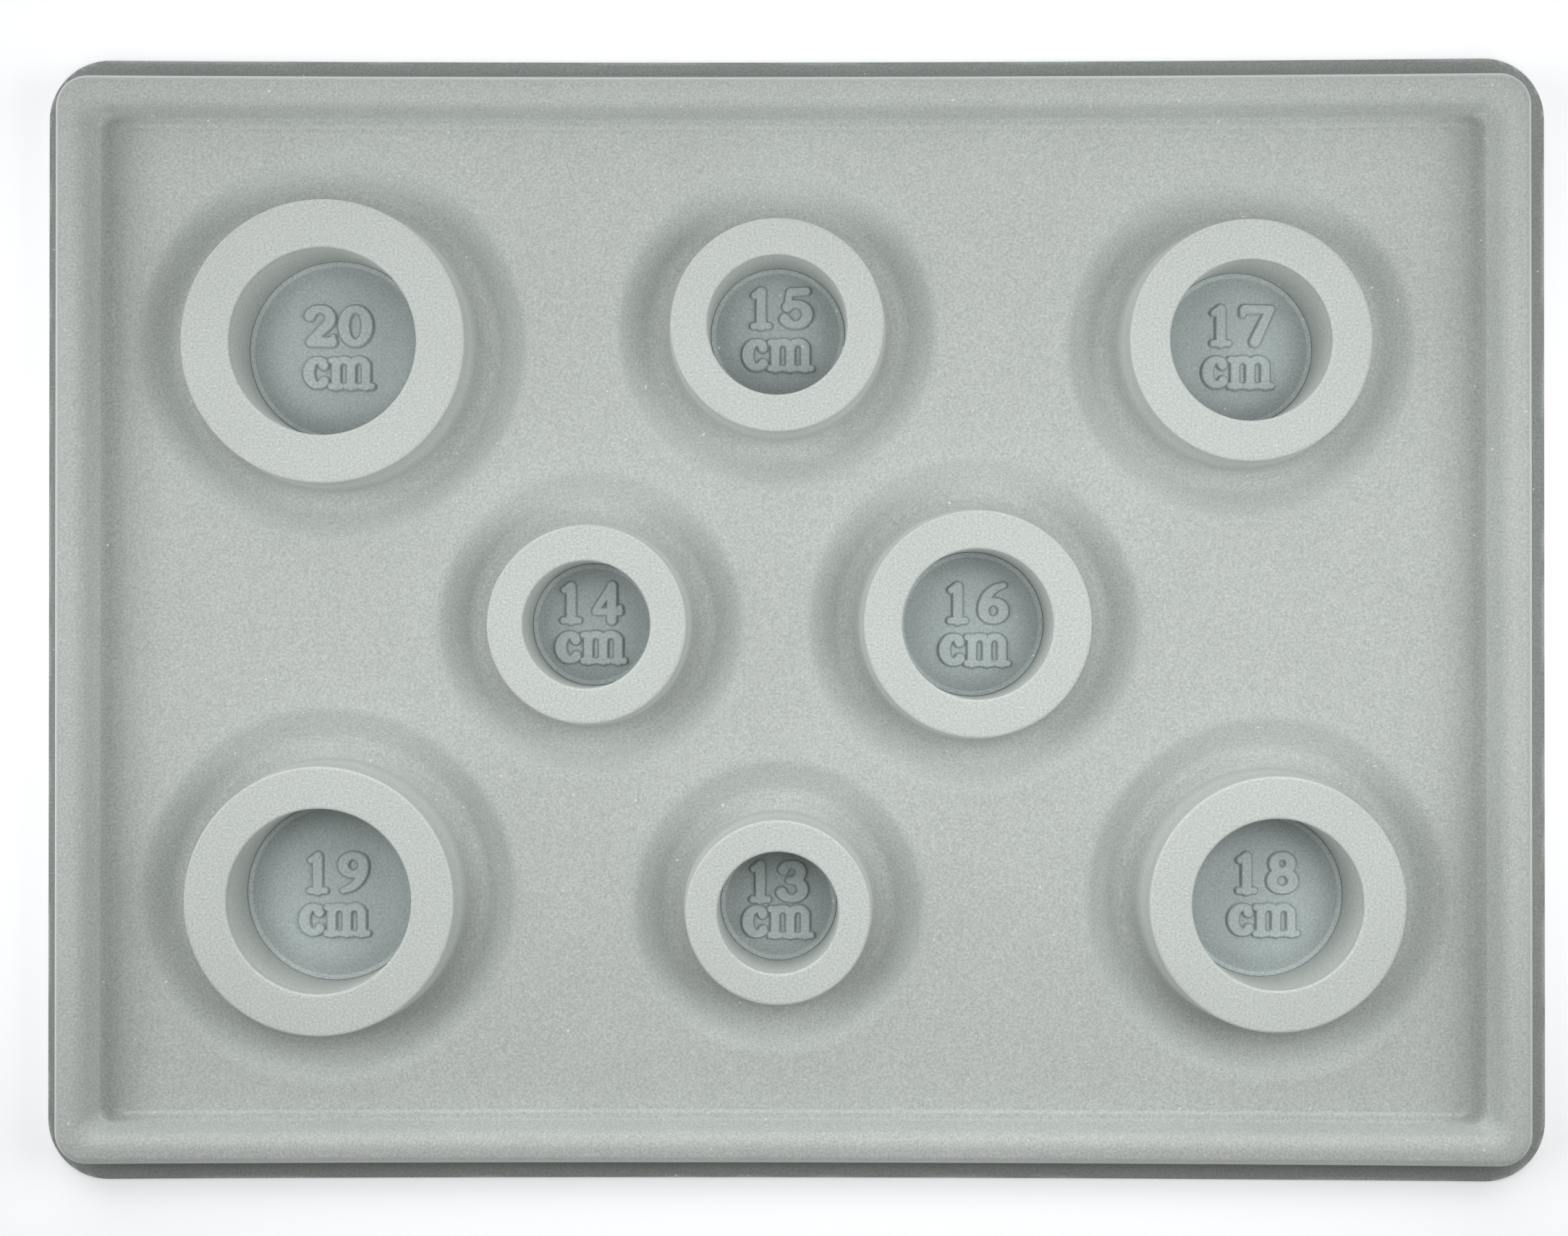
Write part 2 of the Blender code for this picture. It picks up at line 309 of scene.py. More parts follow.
# %% [markdown]
# The underside is the bare sheet: grey high-impact polystyrene, which comes out of forming with a dull gloss
# and a faint ripple like orange peel. It shows where the flange was trimmed, and when the board is lifted.
# One even grey would look like a drawing, so a slow cloud and a fine ripple vary it.

# %% Polystyrene sheet
SHEET_DARK = "#85898a"
SHEET_LIGHT = "#94989a"
SHEET_SMOOTH = 0.42
SHEET_ROUGH = 0.52
SHEET_IOR = 1.59
CLOUD = 30 * MM
PEEL = 1.6 * MM
PEEL_DEPTH = 0.05 * MM
PEEL_STRENGTH = 0.25


def make_polystyrene():
    """Bare grey polystyrene, as it leaves the forming press."""
    material, shader = new_material("grey_polystyrene_sheet")
    place = add_node(material, "ShaderNodeTexCoord").outputs["Object"]
    cloud = add_node(material, "ShaderNodeTexNoise", Vector=place, Scale=1 / CLOUD, Detail=2.0).outputs["Fac"]
    colour = add_node(
        material, "ShaderNodeMix", {"data_type": "RGBA"},
        _0=cloud, _6=linear(SHEET_DARK), _7=linear(SHEET_LIGHT),
    ).outputs[2]
    gloss = add_node(
        material, "ShaderNodeMapRange",
        Value=cloud, From_Min=NOISE_LOW, From_Max=NOISE_HIGH, To_Min=SHEET_SMOOTH, To_Max=SHEET_ROUGH,
    ).outputs[0]
    peel = add_node(material, "ShaderNodeTexNoise", Vector=place, Scale=1 / PEEL, Detail=2.0).outputs["Fac"]
    ripple = add_node(
        material, "ShaderNodeBump", Height=peel, Strength=PEEL_STRENGTH, Distance=PEEL_DEPTH
    ).outputs[0]
    material.node_tree.links.new(colour, shader.inputs["Base Color"])
    material.node_tree.links.new(gloss, shader.inputs["Roughness"])
    material.node_tree.links.new(ripple, shader.inputs["Normal"])
    shader.inputs["IOR"].default_value = SHEET_IOR
    return material


polystyrene = make_polystyrene()
print("finish:", polystyrene.name)

# %% [markdown]
# Every part of a forming is the same sheet bent along a section. So a section is drawn once as the corners of
# its upper face, each with the radius that the mould gives it. A function turns the corners into arcs, and
# another finds the lower face, one sheet's thickness below, with its arcs about the same centres. Bevelling
# finished edges would also round them, but it can't give a soft foot and a crisp edge to one wall so simply.

# %% Sections of the sheet
WALL = 1.4 * MM
ARC_STEP = radians(9)
RUN_STEP = 1.0 * MM
FILLET_SHARE = 0.48
END_FILLET_SHARE = 0.95
# How far a painted edge highlight reaches.
EDGE_HIGHLIGHT_REACH = 0.55 * MM


class Corner:
    """A corner of a section: how far across, how high, its radius, its painted edge highlight, and its
    painted shading. The highlight may run lower than the corner and may reach further."""

    def __init__(self, across, height, radius=0.0, pale=0.0, tone=0.0, drop=0.0, reach=EDGE_HIGHLIGHT_REACH):
        self.place = Vector((across, height))
        self.radius = radius
        self.pale = pale
        self.tone = tone
        self.line = Vector((across, height - drop))
        self.reach = reach


def rounded(path):
    """The points along a path of corners, with each inner corner turned on an arc that fits its two sides."""
    points = [path[0].place]
    shares = [FILLET_SHARE] * (len(path) - 1)
    shares[0] = shares[-1] = END_FILLET_SHARE
    sides = [(after.place - here.place, share) for here, after, share in zip(path, path[1:], shares)]
    for here, (arriving, share_in), (leaving, share_out) in zip(path[1:], sides, sides[1:]):
        back = -arriving.normalized()
        onward = leaving.normalized()
        turn = pi - back.angle(onward)
        room = min(arriving.length * share_in, leaving.length * share_out)
        reach = min(here.radius * tan(turn / 2), room)
        steps = round(turn / ARC_STEP)
        if reach <= 0 or steps == 0:
            points.append(here.place)
            continue
        arc_radius = reach / tan(turn / 2)
        centre = here.place + (back + onward).normalized() * arc_radius / cos(turn / 2)
        arm = here.place + back * reach - centre
        step = turn / steps if back.cross(onward) < 0 else -turn / steps
        points += [centre + Matrix.Rotation(step * count, 2) @ arm for count in range(steps + 1)]
    return points + [path[-1].place]


def underside(path):
    """The points of the sheet's lower face, with the cut ends that close it to the upper face."""
    sides = [(after.place - here.place).normalized() for here, after in zip(path, path[1:])]
    normals = [Vector((side.y, -side.x)) for side in sides]
    moved = [Corner(*(path[0].place + normals[0] * WALL))]
    for here, before, after in zip(path[1:], normals, normals[1:]):
        shift = (before + after) * WALL / (1 + before.dot(after))
        wider = WALL if before.cross(after) > 0 else -WALL
        moved.append(Corner(*(here.place + shift), max(here.radius + wider, 0.0)))
    moved.append(Corner(*(path[-1].place + normals[-1] * WALL)))
    return [path[0].place] + rounded(moved) + [path[-1].place]


def divided(points):
    """The same line with its long runs divided, so that the pale edges fade over a short way."""
    fine = [points[0]]
    for start, end in zip(points, points[1:]):
        runs = max(1, round((end - start).length / RUN_STEP))
        fine += [start.lerp(end, count / runs) for count in range(1, runs + 1)]
    return fine


demo = [Corner(0, 0), Corner(10 * MM, 0, 2 * MM), Corner(10 * MM, 10 * MM)]
print("a rounded corner takes", len(rounded(demo)), "points")

# %% [markdown]
# A corner also carries the painted highlight along its edge, and the painted shading of the flock there:
# above zero for painted light, below zero for painted shade. Both are worked out for every point of a section
# and kept in the mesh, where the finish reads them. They could be painted on by hand instead, but then a
# changed section would have to be painted again.

# %% Painted highlights and shading along a section


def paleness(points, path):
    """The painted highlight at each point of a section: most at an edge, fading within the edge's reach."""
    pale = np.zeros(len(points))
    for each in path:
        edge = min(points, key=lambda point: (point - each.line).length)
        fade = [max(0.0, 1 - (point - edge).length / each.reach) for point in points]
        pale = np.maximum(pale, each.pale * np.array(fade))
    return pale


def tone_at(point, path):
    """The painted shading at a point of a section: between the values of the two corners of the nearest side.
    """
    sides = []
    for here, after in zip(path, path[1:]):
        share = min(max(intersect_point_line(point, here.place, after.place)[1], 0), 1)
        gap = (here.place.lerp(after.place, share) - point).length
        sides.append((gap, here.tone + share * (after.tone - here.tone)))
    return min(sides)[1]


def flock_values(points, path):
    """What the flock's finish reads at each point of a section."""
    return {
        "crest": paleness(points, path),
        "tone": [tone_at(point, path) for point in points],
    }


print("a flocked section carries", " and ".join(flock_values(rounded(demo), demo)))

# %% [markdown]
# An operator works on all that is selected, so a few helpers select just what the next step needs. One more
# makes an object from points, and the last ones count the edges that don't join two faces, because a closed
# shell has none of those.

# %% Selecting and counting


def select_only(*pieces):
    """These objects selected, the first of them active, and nothing else."""
    bpy.ops.object.select_all(action="DESELECT")
    for piece in pieces:
        piece.select_set(True)
    bpy.context.view_layer.objects.active = pieces[0]


def edit_all(piece):
    """The piece alone in edit mode, selected all over."""
    select_only(piece)
    bpy.ops.object.mode_set(mode="EDIT")
    bpy.ops.mesh.select_all(action="SELECT")


def edit_part(piece, kind, chosen):
    """The chosen points or faces of the active piece selected in edit mode, and nothing else of it."""
    bpy.ops.object.mode_set(mode="EDIT")
    bpy.ops.mesh.select_mode(type=kind)
    bpy.ops.mesh.select_all(action="DESELECT")
    bpy.ops.object.mode_set(mode="OBJECT")
    elements = piece.data.vertices if kind == "VERT" else piece.data.polygons
    elements.foreach_set("select", chosen)
    bpy.ops.object.mode_set(mode="EDIT")


def new_piece(name, places, edges, faces, material, values):
    """An object from points, with its finish and what that finish reads at each point."""
    mesh = bpy.data.meshes.new(name)
    mesh.from_pydata(places, edges, faces)
    for attribute, each in values.items():
        mesh.attributes.new(attribute, "FLOAT", "POINT").data.foreach_set("value", each)
    mesh.materials.append(material)
    piece = bpy.data.objects.new(name, mesh)
    bpy.context.scene.collection.objects.link(piece)
    return piece


def open_edges(piece):
    """How many edges of a piece do not join exactly two faces. A closed shell has none."""
    shape = bmesh.new()
    shape.from_mesh(piece.data)
    count = sum(len(edge.link_faces) != 2 for edge in shape.edges)
    shape.free()
    return count


def report(piece):
    """A printed line on a finished piece."""
    print(piece.name, len(piece.data.polygons), "faces,", open_edges(piece), "open edges")


# %% [markdown]
# The posts and grooves are turned shapes. Each half of the sheet, upper and lower, is a line of points spun
# once round the post's axis. The two halves are joined and merged where they share an edge, which makes a
# closed shell, and each half keeps its own finish. A new line has no faces to copy, so the spin is given the
# whole turn, and its last ring is merged with its first.

# %% Turned pieces
TURN_STEPS = 180
MERGE = 0.002 * MM
SHARP = radians(40)


def spun(name, points, values, axis, material):
    """A surface turned about an upright axis from a line of points (radius, height)."""
    places = [(axis.x + point.x, axis.y, point.y) for point in points]
    edges = [(index - 1, index) for index in range(1, len(places))]
    piece = new_piece(name, places, edges, [], material, values)
    edit_all(piece)
    bpy.ops.mesh.spin(steps=TURN_STEPS, angle=2 * pi, center=(axis.x, axis.y, 0), axis=(0, 0, 1))
    bpy.ops.mesh.select_all(action="SELECT")
    bpy.ops.mesh.remove_doubles(threshold=MERGE)
    bpy.ops.object.mode_set(mode="OBJECT")
    return piece


def joined(name, *halves):
    """Surfaces joined into one closed shell, with its faces pointing out and its cut edges sharp."""
    select_only(*halves)
    bpy.ops.object.join()
    piece = bpy.context.object
    piece.name = name
    piece.data.name = name
    edit_all(piece)
    bpy.ops.mesh.remove_doubles(threshold=MERGE)
    bpy.ops.mesh.normals_make_consistent(inside=False)
    bpy.ops.object.mode_set(mode="OBJECT")
    bpy.ops.object.shade_smooth_by_angle(angle=SHARP)
    return piece


def turned(name, path, axis):
    """A ring of the sheet: flock on its upper face, bare plastic below and on its cut ends."""
    upper = divided(rounded(path))
    top = spun(name, upper, flock_values(upper, path), axis, flock)
    bottom = spun(name + "_below", underside(path), {}, axis, polystyrene)
    return joined(name, top, bottom)


def stand_in(piece, *nodes):
    """The piece takes the place of these nodes, moves with the board and has its finish."""
    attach(piece, "root")
    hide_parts(*nodes)


print("a turned piece has", TURN_STEPS, "steps round it")

# %% [markdown]
# A bracelet's size is the way round it, so the edge of each post's top is as long as its size says: a 20 cm
# post is 20 cm round. The wall leans out a little, so that a cold tray drops off its mould, and ends in a
# soft foot. Inside is a well with a crisp edge. A cylinder could be inset and bevelled, but a turned section
# gives each edge its own radius.

# %% Posts
POST_DRAFT = radians(4.5)
POST_EDGE_ROUND = 0.7 * MM
FOOT_FILLET = 2.6 * MM
WELL_DRAFT = radians(0.2)
WELL_LIP = 0.05 * MM
WELT_REACH = 1.22 * MM
WELL_FILLET = 0.05 * MM
GROOVE_SPLIT = 4.4 * MM
SEAM = 0.3 * MM
# Painted highlights along both edges of the post's top; the outer one runs a little lower.
INNER_EDGE_HIGHLIGHT = 0.25
OUTER_EDGE_HIGHLIGHT = 0.45
OUTER_HIGHLIGHT_DROP = 0.35 * MM
# Painted light on the post's top and on its walls, inside and out, and painted shade at the foot of the well
# and of the post.
TOP_PAINTED_LIGHT = 0.11
WALL_PAINTED_LIGHT = 0.25
WELL_WALL_LIGHT_HEIGHT = 0.85
POST_WALL_LIGHT_HEIGHT = 0.5
WELL_FOOT_PAINTED_SHADE = -0.12
POST_FOOT_PAINTED_SHADE = -0.12
# Painted shade on the groove's bottom beside the post.
GROOVE_PAINTED_SHADE = -0.08

GROOVE_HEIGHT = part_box("groove_20cm")[0].z + WALL
POST_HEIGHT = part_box("post_20cm")[1].z


def middle(node):
    """The upright axis of a turned node."""
    low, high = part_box(node)
    return (low + high) / 2


def post_radius(size):
    """The radius of the post's top edge, from the way round it in centimetres."""
    return size * CENTIMETRE / (2 * pi)


def well_floor_radius(size):
    """Where the well's floor meets the lip of the post, far enough out for the floor's welt."""
    low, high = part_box(f"well_floor_{size}cm")
    return (high.x - low.x) / 2 + SEAM / 2 + WELT_REACH


def add_post(size):
    """A hollow post, from the lip of its well over its flat top and down to the groove's lowest line."""
    radius = post_radius(size)
    lip = well_floor_radius(size)
    well_foot = lip + WELL_LIP
    well_run = Vector((tan(WELL_DRAFT), 1)) * (POST_HEIGHT - WALL)
    well_wall_light_point = Vector((well_foot, WALL)) + well_run * WELL_WALL_LIGHT_HEIGHT
    wall_run = Vector((-tan(POST_DRAFT), 1)) * (POST_HEIGHT - GROOVE_HEIGHT)
    foot = Vector((radius, POST_HEIGHT)) - wall_run
    # Each corner carries its painted highlight and its painted shading.
    path = [
        Corner(lip, WALL, tone=WELL_FOOT_PAINTED_SHADE),
        Corner(well_foot, WALL, WELL_FILLET, tone=WELL_FOOT_PAINTED_SHADE),
        Corner(*well_wall_light_point, tone=WALL_PAINTED_LIGHT),
        Corner(well_foot + well_run.x, POST_HEIGHT, POST_EDGE_ROUND, INNER_EDGE_HIGHLIGHT, TOP_PAINTED_LIGHT),
        Corner(radius, POST_HEIGHT, POST_EDGE_ROUND, OUTER_EDGE_HIGHLIGHT, TOP_PAINTED_LIGHT, OUTER_HIGHLIGHT_DROP),
        Corner(*(foot + wall_run * POST_WALL_LIGHT_HEIGHT), tone=WALL_PAINTED_LIGHT),
        Corner(*foot, FOOT_FILLET, tone=POST_FOOT_PAINTED_SHADE),
        Corner(radius + GROOVE_SPLIT, GROOVE_HEIGHT, tone=GROOVE_PAINTED_SHADE),
    ]
    post = turned(f"flocked_post_{size}cm", path, middle(f"post_{size}cm"))
    stand_in(post, f"post_{size}cm")
    return post


for size in SIZES:
    report(add_post(size))

# %% [markdown]
# A groove is a shallow dish round the post's foot, which gives room to whatever is measured round the post.
# Its bottom is soft, its side is a straight slope, and its outer edge rolls over into the floor. A bevelled
# hole in the floor would give the edge, but not the soft bottom, so it is turned from a section as well.

# %% Grooves
GROOVE_FLAT = 1.3 * MM
GROOVE_WIDTH = 12.6 * MM
GROOVE_FILLET = 3.5 * MM
GROOVE_EDGE_ROUND = 4.0 * MM
GROOVE_LIP = 1.4 * MM


def add_groove(size):
    """The dished ring from its lowest line up to the tray's floor."""
    radius = post_radius(size)
    path = [
        # The groove's bottom is painted darker, a painted shade that fades out up its side.
        Corner(radius + GROOVE_SPLIT, GROOVE_HEIGHT, tone=GROOVE_PAINTED_SHADE),
        Corner(radius + GROOVE_SPLIT + GROOVE_FLAT, GROOVE_HEIGHT, GROOVE_FILLET, tone=GROOVE_PAINTED_SHADE / 2),
        Corner(radius + GROOVE_WIDTH, FLOOR_HEIGHT, GROOVE_EDGE_ROUND),
        Corner(radius + GROOVE_WIDTH + GROOVE_LIP, FLOOR_HEIGHT),
    ]
    groove = turned(f"flocked_groove_{size}cm", path, middle(f"groove_{size}cm"))
    stand_in(groove, f"groove_{size}cm")
    return groove


for size in SIZES:
    report(add_groove(size))

# %% [markdown]
# A well's floor is a disc with a fine raised welt round its edge. A cylinder as deep as the sheet is the
# right start. Its top is inset again and again, and the insets that go up and down again make the welt. The
# top gets the wells' darker flock, a painted shade, with painted light on the welt and painted shade beside
# it, and the lower faces get the bare sheet.

# %% Well floors
WELT_FOOT = 0.1 * MM
WELT_TOP = 0.9 * MM
WELT_SIDE = 0.3 * MM
WELT_RISE = 0.25 * MM
RING_INSET = 1.5 * MM
RING_COUNT = 5
# Painted light on the welt's top, and painted shade beside the well's wall that fades towards the middle.
WELT_PAINTED_LIGHT = 0.08
RING_PAINTED_SHADE = -0.23
RING_SHADE_WIDTH = 6.5 * MM
UPWARD = 0.5


def clothe(piece, pile):
    """Flock of this kind on the faces that look up, bare plastic on the rest."""
    piece.data.materials.clear()
    piece.data.materials.append(pile)
    piece.data.materials.append(polystyrene)
    for face in piece.data.polygons:
        face.material_index = 0 if face.normal.z > UPWARD else 1


def welt_tone(place, axis, size):
    """The painted shading on a well's floor: light on the welt, shade beside it, fading towards the middle.
    """
    if place.z > WALL + WELT_RISE / 2:
        return WELT_PAINTED_LIGHT
    inward = well_floor_radius(size) - (place - axis).xy.length
    return RING_PAINTED_SHADE * max(0, 1 - inward / RING_SHADE_WIDTH)


def add_well_floor(size):
    """The disc that a size mark stands on."""
    axis = middle(f"well_floor_{size}cm")
    bpy.ops.mesh.primitive_cylinder_add(
        vertices=TURN_STEPS, radius=well_floor_radius(size), depth=WALL, end_fill_type="NGON",
        location=(axis.x, axis.y, WALL / 2),
    )
    disc = bpy.context.object
    disc.name = f"flocked_well_floor_{size}cm"
    select_only(disc)
    bpy.ops.object.transform_apply(location=True, rotation=True, scale=True)
    edit_part(disc, "FACE", [face.normal.z > UPWARD for face in disc.data.polygons])
    welt = [(WELT_FOOT, WELT_RISE), (WELT_TOP, 0), (WELT_SIDE, -WELT_RISE)]
    for width, rise in welt + [(RING_INSET, 0)] * RING_COUNT:
        bpy.ops.mesh.inset(thickness=width, depth=rise)
    bpy.ops.mesh.poke()
    bpy.ops.object.mode_set(mode="OBJECT")
    tones = [welt_tone(vertex.co, axis, size) for vertex in disc.data.vertices]
    disc.data.attributes.new("tone", "FLOAT", "POINT").data.foreach_set("value", tones)
    # The well's floor gets the wells' darker flock, a painted shade.
    clothe(disc, well_flock_shaded)
    bpy.ops.object.shade_smooth_by_angle(angle=SHARP)
    stand_in(disc, f"well_floor_{size}cm")
    return disc


for size in SIZES:
    report(add_well_floor(size))

# %% [markdown]
# Each well's floor carries its size, raised in the mould as a number over the letters "cm". A hot sheet
# drapes over such letters, so their edges are soft and narrow gaps do not fill to the bottom. A text object
# could be bevelled, but its edges would stay crisp. Here each sign is drawn as a few pen strokes of changing
# width: a bar runs between two points, and a bowl is part of an ellipse, broadest at its sides. A fine grid
# is then lifted where it lies near a stroke, which drapes it as the sheet does.

# %% Pen strokes of the size marks
BOWL_POINTS = 25
PEN_SWELL = 1.5


def bar(start_x, start_y, end_x, end_y, start_half, end_half):
    """A straight stroke: two ends and half the pen's width at each, in millimetres."""
    return np.array([(start_x, start_y, start_half), (end_x, end_y, end_half)])


def bowl(centre_x, centre_y, half_x, half_y, start, end, thin, thick):
    """Part of an ellipse from one angle to another, in degrees, with the pen broad at its two sides."""
    angle = np.radians(np.linspace(start, end, BOWL_POINTS))
    half = thin + (thick - thin) * np.abs(np.cos(angle)) ** PEN_SWELL
    return np.stack([centre_x + half_x * np.cos(angle), centre_y + half_y * np.sin(angle), half], axis=1)


def turned_over(strokes, width, height):
    """The same strokes, turned half round: a nine is a six on its head."""
    return [np.stack([width - line[:, 0], height - line[:, 1], line[:, 2]], axis=1) for line in strokes]


DIGIT_HEIGHT = 9.2
DIGIT_WIDTH = 7.0
SIX = [
    bowl(3.5, 2.75, 2.35, 2.15, 0, 360, 0.55, 0.95),
    bowl(6.0, 2.9, 4.85, 5.6, 180, 106, 0.45, 0.95),
    bar(4.7, 8.3, 5.9, 8.7, 0.42, 0.4),
]
SIGNS = {
    "0": [bowl(3.5, 4.6, 2.75, 4.0, 0, 360, 0.55, 1.05)],
    "1": [
        bar(3.6, 0.5, 3.6, 8.3, 0.85, 0.85),
        bar(3.5, 8.4, 2.0, 7.5, 0.6, 0.45),
        bar(1.8, 0.45, 5.4, 0.45, 0.45, 0.45),
    ],
    "2": [
        bowl(3.2, 6.35, 2.45, 2.2, 165, -35, 0.6, 0.95),
        bar(5.2, 5.1, 1.3, 1.3, 0.9, 0.7),
        bar(1.0, 0.85, 6.1, 0.85, 0.75, 0.85),
        bar(6.1, 0.9, 6.3, 2.0, 0.6, 0.35),
    ],
    "3": [
        bowl(3.2, 6.75, 2.1, 1.85, 160, -80, 0.55, 0.95),
        bowl(3.2, 2.75, 2.55, 2.1, 85, -160, 0.55, 1.0),
        bar(2.6, 4.85, 3.6, 4.85, 0.5, 0.55),
    ],
    "4": [
        bar(4.7, 8.5, 1.0, 2.9, 0.6, 0.5),
        bar(0.9, 2.5, 6.5, 2.5, 0.5, 0.55),
        bar(6.4, 2.5, 6.6, 3.4, 0.5, 0.35),
        bar(4.7, 8.4, 4.7, 0.6, 0.85, 0.85),
    ],
    "5": [
        bar(2.1, 8.3, 5.8, 8.5, 0.65, 0.6),
        bar(1.9, 8.2, 1.3, 5.0, 0.55, 0.5),
        bowl(3.2, 3.1, 2.75, 2.45, 135, -155, 0.6, 1.0),
    ],
    "6": SIX,
    "7": [
        bar(0.7, 8.3, 6.8, 8.3, 0.75, 0.6),
        bar(0.4, 8.3, 0.3, 7.1, 0.5, 0.4),
        bar(6.5, 8.0, 3.1, 0.8, 0.7, 0.95),
    ],
    "8": [
        bowl(3.5, 6.75, 1.95, 1.8, 0, 360, 0.55, 0.9),
        bowl(3.5, 2.75, 2.45, 2.1, 0, 360, 0.6, 0.95),
    ],
    "9": turned_over(SIX, DIGIT_WIDTH, DIGIT_HEIGHT),
    "c": [
        bowl(3.0, 3.6, 2.1, 2.9, 55, 315, 0.55, 1.05),
        bar(4.3, 5.5, 4.4, 5.3, 0.8, 0.8),
    ],
    "m": [
        bar(1.7, 0.5, 1.7, 6.2, 0.75, 0.75),
        bar(5.2, 0.5, 5.2, 5.4, 0.75, 0.75),
        bar(8.7, 0.5, 8.7, 5.4, 0.75, 0.75),
        bowl(3.5, 5.0, 1.7, 1.6, 165, 0, 0.55, 0.7),
        bowl(7.0, 5.0, 1.7, 1.6, 165, 0, 0.55, 0.7),
        bar(0.6, 6.5, 1.8, 6.4, 0.45, 0.5),
        bar(0.5, 0.42, 2.9, 0.42, 0.42, 0.42),
        bar(4.0, 0.42, 6.4, 0.42, 0.42, 0.42),
        bar(7.5, 0.42, 10.1, 0.42, 0.42, 0.42),
    ],
}
stroke_count = sum(len(strokes) for strokes in SIGNS.values())
print("signs drawn:", "".join(sorted(SIGNS)), "with", stroke_count, "strokes")

# %% [markdown]
# The number and the letters of each mark stand a little differently in its well, so every mark has its own
# shift and steps. They are in millimetres, as the strokes are.

# %% Layout of the size marks
LETTER_HEIGHT = 7.2
LETTER_STEP = 5.6
LETTERS_WIDTH = 16.2

Mark = namedtuple("Mark", "shift row_step digit_step letter_shift", defaults=(10.9, 8.4, 0.0))
MARKS = {
    13: Mark((-0.5, 0.7), row_step=9.3, digit_step=7.7, letter_shift=0.5),
    14: Mark((-1.2, 0.4), row_step=10.4, letter_shift=0.7),
    15: Mark((0.2, 1.4)),
    16: Mark((0.9, 0.0)),
    17: Mark((0.8, 0.8)),
    18: Mark((0.8, 0.1)),
    19: Mark((-0.1, -0.6)),
    20: Mark((-0.2, 0.9), digit_step=8.0, letter_shift=0.3),
}


def mark_strokes(size):
    """Every stroke of a mark about its middle: the number over the letters."""
    mark = MARKS[size]
    tens, units = str(size)
    whole = mark.row_step + (DIGIT_HEIGHT + LETTER_HEIGHT) / 2
    digit_base = whole / 2 - DIGIT_HEIGHT
    letter_base = -whole / 2
    digits_left = -(mark.digit_step + DIGIT_WIDTH) / 2
    letters_left = mark.letter_shift - LETTERS_WIDTH / 2
    placed = [
        (tens, digits_left, digit_base),
        (units, digits_left + mark.digit_step, digit_base),
        ("c", letters_left, letter_base),
        ("m", letters_left + LETTER_STEP, letter_base),
    ]
    return [stroke + np.array([left, base, 0.0]) for sign, left, base in placed for stroke in SIGNS[sign]]


print("the 20 cm mark has", len(mark_strokes(20)), "strokes")

# %% [markdown]
# The grid is as fine as the soft edge needs. Its points are lifted by their distance to the strokes, the ones
# far from every stroke are deleted, and what is left is given a thickness. Its outer border dips just under
# the disc, so that the foot of each letter runs out into the floor with no step. The sides of the letters are
# painted darker, a painted shade, and their flat tops a little paler, a painted light.

# %% Raised size marks
MARK_WIDTH = 18.4
MARK_HEIGHT = 22.0
MARK_GRID = 0.15
MARK_RISE = 1.2
MARK_SINK = 0.06
FLAT_REACH = 0.1
FOOT_REACH = 0.8
MARK_BORDER = 1.1
MARK_SHARP = radians(60)
# Painted shade on the letters' sides and painted light on their flat tops.
LETTER_SIDE_PAINTED_SHADE = -0.28
LETTER_TOP_PAINTED_LIGHT = 0.06
SHORTEST_STROKE = 1e-9


def distance(points, strokes):
    """How far each point lies outside the nearest stroke. It is below zero inside one."""
    nearest = np.full(len(points), np.inf)
    for stroke in strokes:
        for start, end in zip(stroke, stroke[1:]):
            along = end[:2] - start[:2]
            share = np.clip((points - start[:2]) @ along / max(along @ along, SHORTEST_STROKE), 0, 1)
            gap = np.linalg.norm(points - start[:2] - share[:, None] * along, axis=1)
            nearest = np.minimum(nearest, gap - start[2] - share * (end[2] - start[2]))
    return nearest


